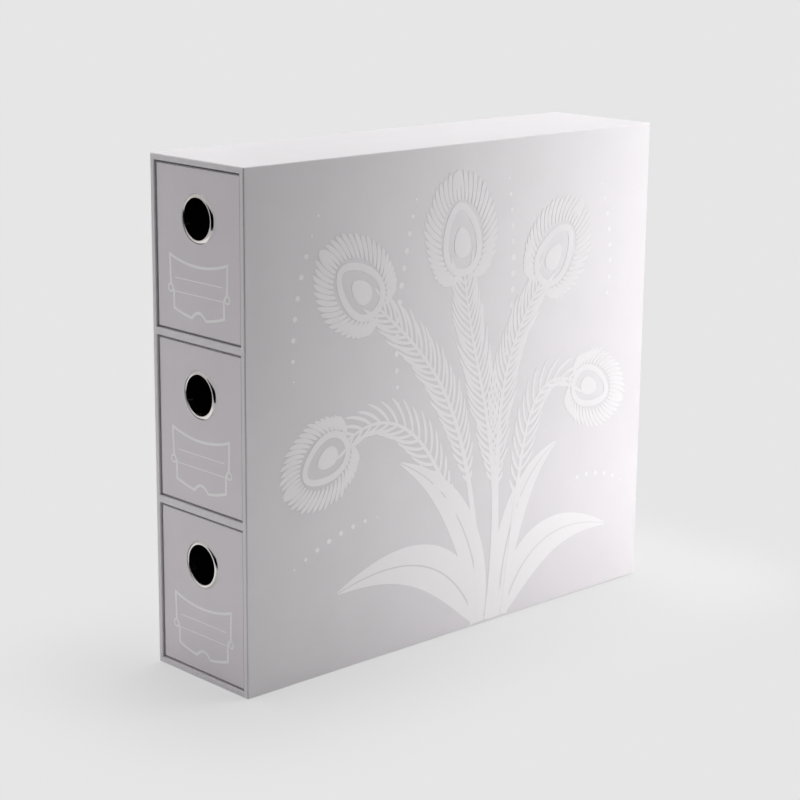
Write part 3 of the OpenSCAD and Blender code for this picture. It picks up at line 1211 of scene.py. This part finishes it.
@dataclass(frozen=True)
class Feather:
    """One feather of the side print, in millimetres from the panel's lower front corner.

    Attributes:
        name: what the piece is called.
        root: foot of the quill.
        lean: where the quill's first handle stands, seen from the root.
        eye: middle of the eye.
        heading_deg: direction in which the quill meets the eye.
        run: length of the quill's last handle.
        barbs: number of loose barbs on each side.
        scale: size of the eye.
    """

    name: str
    root: Point
    lean: Point
    eye: Point
    heading_deg: float
    run: float
    barbs: int
    scale: float = 1.0


@dataclass(frozen=True)
class Trail:
    """One trail of dots of the side print, in millimetres from the panel's lower front corner.

    Attributes:
        points: its start, its bend and its end.
        dots: number of its dots.
        width: of the widest dot.
    """

    points: tuple[Point, Point, Point]
    dots: int
    width: float


@dataclass
class SidePrint:
    """Tone-on-tone print of eyed feathers and long leaves that rise from the panel's lower edge.

    Attributes:
        place: the side panel.
        ink: the print's material.
        ring_mm: width of the ring round a feather's eye.
        heart_share: size of the solid heart in it, as a share of the eye's.
        heart_back: how far the heart lies back from its middle, as a share of the eye's length.
        fringe_room_mm: bare room between the eye and the barbs round it.
        fringe_opening_deg: half of the gap in them where the quill comes in.
        fringe_spread: share of the way round by which each of them turns from the eye's direction.
        fringe_seed: added to a feather's seed for its fringe.
        barb_angles_deg: angle of the loose barbs to the quill, at its foot and at its tip.
        bare_quill: share of the quill that carries none.
        quill_overlap_mm: how far its tip reaches into the eye.
        leaf_width_mm: greatest half-width of the widest leaf.
        rib_gap_mm: half of the bare width of its rib.
        step_mm: one step of ink, by which strokes that cross differ in height.
        feather_levels: steps that a feather's own strokes take up.
    """

    place: PrintPlace
    ink: Material
    eye_length_mm: float = 46.0
    eye_width_mm: float = 33.0
    ring_mm: float = 4.6
    heart_share: float = 0.42
    heart_back: float = 0.04
    fringe_length_mm: float = 19.0
    fringe_width_mm: float = 3.3
    fringe_barbs: int = 37
    fringe_room_mm: float = 1.6
    fringe_opening_deg: float = 16.0
    fringe_spread: float = 0.62
    fringe_seed: int = 20
    barb_length_mm: float = 27.0
    barb_width_mm: float = 2.3
    barb_angles_deg: Pair = (52.0, 38.0)
    bare_quill: float = 0.4
    quill_width_mm: float = 7.5
    quill_overlap_mm: float = 1.5
    leaf_width_mm: float = 15.0
    rib_gap_mm: float = 0.8
    step_mm: float = 0.003
    feather_levels: int = 5
    feathers: tuple[Feather, ...] = (
        Feather("far_left", (198, 2), (-18, 112), (64, 142), 208, 62, 17, 0.92),
        Feather("left", (204, 2), (-10, 150), (92, 246), 140, 74, 25, 1.0),
        Feather("middle", (212, 2), (16, 130), (181, 268), 97, 78, 27, 1.06),
        Feather("right", (220, 2), (-4, 140), (270, 248), 52, 74, 25, 1.0),
        Feather("far_right", (227, 2), (14, 104), (310, 150), -22, 58, 15, 0.88),
    )
    leaves: tuple[Leaf, ...] = (
        Leaf((200, 2), (168, 78), (74, 52), 1.0),
        Leaf((226, 2), (252, 70), (330, 46), 0.9),
        Leaf((205, 2), (196, 96), (128, 128), 0.72),
        Leaf((221, 2), (226, 92), (276, 116), 0.66),
    )
    trails: tuple[Trail, ...] = (
        Trail(((126, 168), (118, 224), (140, 298)), 13, 4.2),
        Trail(((222, 176), (236, 232), (224, 304)), 13, 4.2),
        Trail(((38, 196), (34, 246), (58, 296)), 9, 3.6),
        Trail(((322, 204), (334, 244), (316, 292)), 9, 3.6),
        Trail(((108, 96), (76, 96), (38, 76)), 8, 3.4),
        Trail(((290, 84), (316, 92), (346, 76)), 7, 3.4),
    )

    def build(self) -> None:
        """Grows each part of the print and lays it on the panel."""
        feather, fringe, dots = feather_tree(), fringe_tree(), dot_tree()
        for seed, plan in enumerate(self.feathers, start=1):
            self._put(f"feather_{plan.name}", self._feather(feather, plan, seed))
            self._put(f"fringe_{plan.name}", self._fringe(fringe, plan, seed))
            self._put(f"eye_{plan.name}", self._eye(plan))
        for number, leaf in enumerate(self.leaves, start=1):
            halves = [leaf.half(self.leaf_width_mm, side, self.rib_gap_mm) for side in (-1, 1)]
            self._put(f"leaf_{number}", self._solid(halves, number))
        for number, trail in enumerate(self.trails, start=1):
            self._put(f"dots_{number}", self._dots(dots, trail))

    def _put(self, name: str, mesh: Mesh) -> None:
        """Lays one part of the print on the panel."""
        put_print(self.place, f"side_print_{name}", mesh, self.ink)

    def _grow(self, tree: NodeTree, values: dict[str, object]) -> Mesh:
        """Grows a part of the print, with the inputs that every tree of the print has.

        Args:
            tree: the part's tree.
            values: its own inputs.

        Returns:
            The mesh, in the print's own plane.
        """
        shared = {
            "Ink Height": self.place.ink_mm * MM,
            "Ink Depth": self.place.sunk_mm * MM,
            "Ink Step": self.step_mm * MM,
            "Ink": self.ink,
        }
        return grow(tree, {**shared, **values})

    def _base_step(self, rank: int) -> int:
        """Returns how many steps of ink lie under the strokes of a feather, counted from the left.

        Each feather takes as many steps as its own strokes need, so none shares a face with another.
        """
        return len(self.leaves) + 1 + rank * (self.feather_levels + 1)

    def _solid(self, slabs: Iterable[Slab], step: int) -> Mesh:
        """Turns outlines into slabs of ink that lie on a number of steps."""
        return slab_mesh("ink", slabs, -self.place.sunk_mm, self.place.ink_mm + step * self.step_mm)

    def _feather(self, tree: NodeTree, plan: Feather, seed: int) -> Mesh:
        """Grows a feather's quill and loose barbs.

        Args:
            tree: the feather tree.
            plan: the feather.
            seed: fixed seed of its small irregularities.

        Returns:
            The mesh, in the print's own plane.
        """
        ahead = ray(plan.heading_deg)
        tip = Vector(plan.eye) - ahead * (self.eye_length_mm / 2 - self.quill_overlap_mm) * plan.scale
        root = Vector(plan.root)
        height = self._base_step(seed - 1) * self.step_mm
        root_angle, tip_angle = map(math.radians, self.barb_angles_deg)
        corners = {
            "Root": root,
            "Root Handle": root + Vector(plan.lean),
            "Tip Handle": tip - ahead * plan.run,
            "Tip": tip,
        }
        values = {
            **{name: (spot.x * MM, spot.y * MM, height * MM) for name, spot in corners.items()},
            "Barbs": plan.barbs,
            "Seed": seed,
            "Bare Quill": self.bare_quill,
            "Barb Length": self.barb_length_mm * plan.scale * MM,
            "Barb Width": self.barb_width_mm * MM,
            "Root Angle": root_angle,
            "Tip Angle": tip_angle,
            "Quill Width": self.quill_width_mm * plan.scale * MM,
        }
        return self._grow(tree, values)

    def _fringe(self, tree: NodeTree, plan: Feather, seed: int) -> Mesh:
        """Grows the fan of barbs round a feather's eye.

        Args:
            tree: the fringe tree.
            plan: the feather.
            seed: fixed seed of its small irregularities.

        Returns:
            The mesh, in the print's own plane.
        """
        values = {
            "Half Length": (self.eye_length_mm / 2 + self.fringe_room_mm) * plan.scale * MM,
            "Half Width": (self.eye_width_mm / 2 + self.fringe_room_mm) * plan.scale * MM,
            "Opening": math.radians(self.fringe_opening_deg),
            "Spread": self.fringe_spread,
            "Barb Length": self.fringe_length_mm * plan.scale * MM,
            "Barb Width": self.fringe_width_mm * plan.scale * MM,
            "Barbs": self.fringe_barbs,
            "Base": self._base_step(len(self.feathers)) * self.step_mm * MM,
            "Seed": seed + self.fringe_seed,
        }
        mesh = self._grow(tree, values)
        turn = Matrix.Rotation(math.radians(plan.heading_deg), 4, "Z")
        mesh.transform(Matrix.Translation((plan.eye[0] * MM, plan.eye[1] * MM, 0.0)) @ turn)
        return mesh

    def _eye(self, plan: Feather) -> Mesh:
        """Draws the ring and the solid heart of a feather's eye.

        Args:
            plan: the feather.

        Returns:
            The mesh, in the print's own plane.
        """
        length, width = self.eye_length_mm * plan.scale, self.eye_width_mm * plan.scale
        middle = Vector(plan.eye)
        outer = teardrop(middle, plan.heading_deg, length, width)
        inner = offset_outline(outer, -self.ring_mm * plan.scale)
        back = middle - ray(plan.heading_deg) * self.heart_back * length
        heart = teardrop(back, plan.heading_deg, length * self.heart_share, width * self.heart_share)
        return self._solid([Slab(outer, inner), Slab(heart)], self._base_step(len(self.feathers) + 1))

    def _dots(self, tree: NodeTree, trail: Trail) -> Mesh:
        """Grows a trail of dots.

        Args:
            tree: the dot tree.
            trail: the trail.

        Returns:
            The mesh, in the print's own plane.
        """
        points = zip(("Start", "Middle", "End"), trail.points)
        places = {name: (x * MM, y * MM, 0.0) for name, (x, y) in points}
        return self._grow(tree, {**places, "Dots": trail.dots, "Dot Width": trail.width * MM})


# Sub-assemblies


def dress_nodes(nodes: Iterable[str], material: Material) -> None:
    """Gives CAD nodes their material.

    Args:
        nodes: names of the nodes.
        material: what they are made of.
    """
    for node in nodes:
        dress(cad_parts[node], material)
        log.info("%s: %s", node, material.name)


@dataclass
class Case:
    """The slip case: boards, covering papers, linings and the print on its side."""

    finishes: Finishes
    walls: tuple[str, ...] = ("left", "right", "top", "bottom", "back")
    shelves: tuple[str, ...] = ("lower_shelf", "upper_shelf")
    sheets: tuple[str, ...] = ("case_wrap", "base_sheet", "back_sheet")

    def build(self) -> None:
        """Dresses the case and prints its side."""
        walls = [f"case_{wall}_board" for wall in self.walls]
        dress_nodes([*walls, *(f"{shelf}_board" for shelf in self.shelves)], self.finishes.board)
        dress_nodes([*self.sheets, *(f"{shelf}_wrap" for shelf in self.shelves)], self.finishes.case_paper)
        dress_nodes([f"{level.value}_bay_liner" for level in Level], self.finishes.lining)
        low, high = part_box("case_wrap")
        panel = PrintPlace(CASE, Vector((high.x, low.y, 0.0)), across=Vector((0, 1, 0)))
        SidePrint(panel, self.finishes.ink).build()


@dataclass
class Drawer:
    """One drawer: boards, papers, finger ring and the label frame printed on its front.

    Attributes:
        level: the bay that it sits in.
        finishes: the materials.
        label_drop_mm: how far the label frame's upper edge lies below the ring's middle.
    """

    level: Level
    finishes: Finishes
    label_drop_mm: float = 24.7

    def build(self) -> None:
        """Dresses the drawer and prints its label frame."""
        name = self.level.drawer
        boards = [f"{name}_{side}_board" for side in ("front", "left", "right", "back", "base")]
        dress_nodes(boards, self.finishes.board)
        dress_nodes([f"{name}_wrap"], self.finishes.drawer_papers[self.level])
        dress_nodes([f"{name}_liner"], self.finishes.lining)
        dress_nodes([f"{name}_finger_ring"], self.finishes.ring)
        dress_nodes([f"{name}_ring_washer"], self.finishes.washer)
        low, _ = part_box(f"{name}_wrap")
        ring_low, ring_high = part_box(f"{name}_finger_ring")
        top = (ring_low.z + ring_high.z) / 2 - self.label_drop_mm * MM
        front = PrintPlace(name, Vector((0.0, low.y, top)), across=Vector((1, 0, 0)))
        put_print(front, f"{name}_label_frame", LabelFrame().mesh(front), self.finishes.ink)


# Studio


def facing(way: Vector, turn_deg: float = 0.0) -> Euler:
    """Returns the rotation of a lamp or card.

    Args:
        way: the direction that it points in.
        turn_deg: further turn about the upright.

    Returns:
        The rotation.
    """
    turn = Matrix.Rotation(math.radians(turn_deg), 3, "Z")
    return (turn @ way.to_track_quat("-Z", "Y").to_matrix()).to_euler()


@dataclass(frozen=True)
class Softbox:
    """A rectangular studio lamp.

    Attributes:
        name: the lamp's name.
        place: where it stands, in metres.
        aim: what it points at.
        size: its width and height.
        watts: its power.
        mirrored: whether shiny surfaces see it.
    """

    name: str
    place: Triple
    aim: Triple
    size: Pair
    watts: float
    mirrored: bool = True

    def build(self) -> None:
        """Adds the lamp."""
        lamp = bpy.data.lights.new(self.name, "AREA")
        lamp.shape = "RECTANGLE"
        lamp.size, lamp.size_y = self.size
        lamp.energy = self.watts
        holder = add_object(self.name, lamp)
        holder.location = self.place
        holder.rotation_euler = facing(Vector(self.aim) - Vector(self.place))
        holder.visible_camera = False
        holder.visible_glossy = self.mirrored


@dataclass(frozen=True)
class Card:
    """A studio card that only shiny surfaces see, so it shapes what the plating mirrors.

    Attributes:
        name: the card's name.
        place: its middle, in metres.
        size: its width and height.
        turn_deg: turn about the upright.
        glow: how bright it is, from 0 for a black flag to more than 1 for a lit reflector.
        upright: whether it stands and faces the drawer fronts; otherwise it lies flat.
    """

    name: str
    place: Triple
    size: Pair
    turn_deg: float = 0.0
    glow: float = 0.0
    upright: bool = False

    def build(self) -> None:
        """Adds the card."""
        half_width, half_height = self.size[0] / 2, self.size[1] / 2
        signs = ((-1, -1), (1, -1), (1, 1), (-1, 1))
        mesh = bpy.data.meshes.new(self.name)
        mesh.from_pydata([(x * half_width, y * half_height, 0.0) for x, y in signs], [], [(0, 1, 2, 3)])
        card = add_object(self.name, mesh)
        card.location = self.place
        x, y, _ = self.place
        way = Vector((-x, FRONT_Y - y, 0.0)) if self.upright else -UP
        card.rotation_euler = facing(way, self.turn_deg)
        nodes = Shading.of_material(f"studio_card_{self.name}")
        glow = nodes.out("ShaderNodeEmission", {"Color": linear("#FFFFFF"), "Strength": self.glow})
        dress(card, nodes.ended(glow))
        card.visible_camera = card.visible_diffuse = False
        card.visible_transmission = card.visible_shadow = False


@dataclass(frozen=True)
class PhotoCamera:
    """Camera at the photograph's viewing angle, solved from the seven corners of the case.

    Attributes:
        azimuth_deg: turn from a straight view of the front, towards the right side.
        elevation_deg: height above the horizon.
        roll_deg: tilt of the frame.
        distance_mm: from the middle of the box.
        slide_mm: how far the camera stands off the line of sight, to its right and up.
        focal_px: focal length in pixels of the photograph.
        frame_px: width of the photograph.
        sensor_mm: width of the sensor that the focal length is given for.
    """

    azimuth_deg: float = 46.49
    elevation_deg: float = 14.0
    roll_deg: float = 0.539
    distance_mm: float = 1413.0
    slide_mm: Pair = (-9.28, -11.94)
    focal_px: float = 2103.5
    frame_px: float = 800.0
    sensor_mm: float = 36.0

    def build(self) -> None:
        """Adds the camera and makes it the scene's."""
        low, high = cad_box
        azimuth, elevation, roll = map(math.radians, (self.azimuth_deg, self.elevation_deg, self.roll_deg))
        flat = Vector((math.sin(azimuth), -math.cos(azimuth), 0.0))
        back = flat * math.cos(elevation) + UP * math.sin(elevation)
        level = UP.cross(back).normalized()
        rise = back.cross(level)
        right = level * math.cos(roll) + rise * math.sin(roll)
        up = rise * math.cos(roll) - level * math.sin(roll)
        data = bpy.data.cameras.new("photo_camera")
        data.sensor_width = self.sensor_mm
        data.lens = self.focal_px / self.frame_px * self.sensor_mm
        camera = add_object("photo_camera", data)
        away = back * self.distance_mm + right * self.slide_mm[0] + up * self.slide_mm[1]
        place = Matrix.Translation((low + high) / 2 + away * MM)
        camera.matrix_world = place @ Matrix((right, up, back)).transposed().to_4x4()
        bpy.context.scene.camera = camera


@dataclass
class Studio:
    """Pale floor and backdrop, soft lamps, cards for the plating and a dim room around them.

    Attributes:
        backdrop: the pale grey that the camera sees behind the box and on the floor.
        room_glow: light of the dim room below and overhead, which the box sees in place of the backdrop.
        room_heights: where between horizon and zenith the one turns into the other.
        floor_radius: radius of the round floor, in metres.
        floor_sides: number of its sides.
        fade_end: distance from the box, in metres, at which the floor has turned into the backdrop.
        fade_least: share of the backdrop in the floor right at the box.
    """

    backdrop: str = "#E6E6E6"
    room_glow: Pair = (0.01, 0.06)
    room_heights: Pair = (0.05, 0.75)
    floor_radius: float = 1.2
    floor_sides: int = 96
    fade_end: float = 0.15
    fade_least: float = 0.62
    lamps: tuple[Softbox, ...] = (
        Softbox("right_rear_softbox", (0.34, 0.44, 0.30), (0.0, 0.30, 0.20), (0.36, 0.58), 2.27),
        Softbox("low_right_strip", (0.22, 0.10, 0.03), (0.045, 0.05, 0.10), (0.5, 0.05), 0.112),
        Softbox(
            "front_left_softbox", (-0.85, -0.85, 0.72), (0.0, -0.18, 0.16), (1.8, 1.2), 9.5, mirrored=False
        ),
        Softbox(
            "low_front_softbox", (-0.26, -0.5, 0.05), (0.0, -0.18, 0.0), (0.5, 0.08), 0.08, mirrored=False
        ),
        Softbox("overhead_softbox", (-0.1, 0.35, 1.3), (0.0, 0.05, 0.33), (1.2, 1.2), 12.5),
        Softbox("left_softbox", (-1.2, 0.3, 0.3), (-0.045, 0.0, 0.15), (0.9, 0.5), 1.8),
        Softbox("rear_softbox", (-0.2, 1.5, 0.35), (0.0, 0.18, 0.15), (0.9, 0.6), 3.6, mirrored=False),
    )
    cards: tuple[Card, ...] = (
        Card("far_wall_flag", (0.25, -1.15, 0.37), (1.7, 0.74), upright=True),
        Card("front_floor_flag", (1.03, -0.98, 0.002), (3.0, 1.8), turn_deg=46.5),
        Card("right_wall_flag", (0.84, -0.495, 0.6), (0.5, 1.2), upright=True),
        Card("near_left_flag", (-0.304, -0.279, 0.002), (0.38, 0.12), turn_deg=18.0),
        Card("far_left_flag", (-1.72, -0.706, 0.002), (2.6, 0.55), turn_deg=17.0),
        Card("lit_table_reflector", (-0.502, -0.564, 0.003), (1.1, 0.25), turn_deg=26.0, glow=1.3),
    )

    def build(self) -> None:
        """Adds lamps, cards, room and floor."""
        for lamp_or_card in (*self.lamps, *self.cards):
            lamp_or_card.build()
        self._room()
        self._floor()

    @staticmethod
    def _seen(nodes: Shading) -> Socket:
        """Adds a mask that is 1 for rays from the camera, from plating and through glass.

        Args:
            nodes: the nodes of the floor or of the world.

        Returns:
            The mask.
        """
        path = nodes.add("ShaderNodeLightPath").outputs
        either = nodes.maths("MAXIMUM", path["Is Camera Ray"], path["Is Glossy Ray"])
        return nodes.maths("MAXIMUM", either, path["Is Transmission Ray"])

    def _room(self) -> None:
        """Sets the world: the backdrop for camera, plating and glass, and a dim room for the rest."""
        world = bpy.data.worlds.new("studio_room")
        bpy.context.scene.world = world
        nodes = Shading(world)
        height = nodes.axes(nodes.out("ShaderNodeTexCoord", socket="Generated"))["Z"]
        ceiling = nodes.fit(height, self.room_heights, self.room_glow, smooth=True)
        room = nodes.out("ShaderNodeBackground", {"Color": linear("#FFFFFF"), "Strength": ceiling})
        pale = nodes.out("ShaderNodeBackground", {"Color": linear(self.backdrop), "Strength": 1.0})
        both = nodes.out("ShaderNodeMixShader", {0: self._seen(nodes), 1: room, 2: pale})
        nodes.add("ShaderNodeOutputWorld", {"Surface": both})

    def _floor(self) -> None:
        """Adds a round pale floor that fades into the backdrop away from the box."""
        mesh = bpy.data.meshes.new("floor")
        shape = bmesh.new()
        bmesh.ops.create_circle(shape, cap_ends=True, segments=self.floor_sides, radius=self.floor_radius)
        shape.to_mesh(mesh)
        shape.free()
        floor = add_object("floor", mesh)
        nodes = Shading.of_material("studio_floor")
        low, high = cad_box
        foot = ((high.x - low.x) / 2, (high.y - low.y) / 2, 0.0)
        beyond = nodes.vectors("SUBTRACT", nodes.vectors("ABSOLUTE", nodes.point()), foot)
        outside = nodes.vectors("MAXIMUM", beyond, (0.0, 0.0, 0.0))
        reach = nodes.out("ShaderNodeVectorMath", {0: outside}, "Value", operation="LENGTH")
        far = nodes.fit(reach, (0.0, self.fade_end), (self.fade_least, 1.0), smooth=True)
        fade = nodes.maths("MULTIPLY", far, self._seen(nodes))
        matt = nodes.out("ShaderNodeBsdfDiffuse", {"Color": linear(self.backdrop)})
        pale = nodes.out("ShaderNodeEmission", {"Color": linear(self.backdrop), "Strength": 1.0})
        both = nodes.out("ShaderNodeMixShader", {0: fade, 1: matt, 2: pale})
        dress(floor, nodes.ended(both))


def main() -> None:
    """Dresses the case, then each drawer, and sets up the studio."""
    logging.basicConfig(level=logging.INFO, format="%(name)s: %(message)s")
    bpy.context.scene.view_settings.view_transform = "Standard"
    finishes = Finishes()
    Case(finishes).build()
    for level in Level:
        Drawer(level, finishes).build()
    Studio().build()
    PhotoCamera().build()


if __name__ == "__main__":
    main()
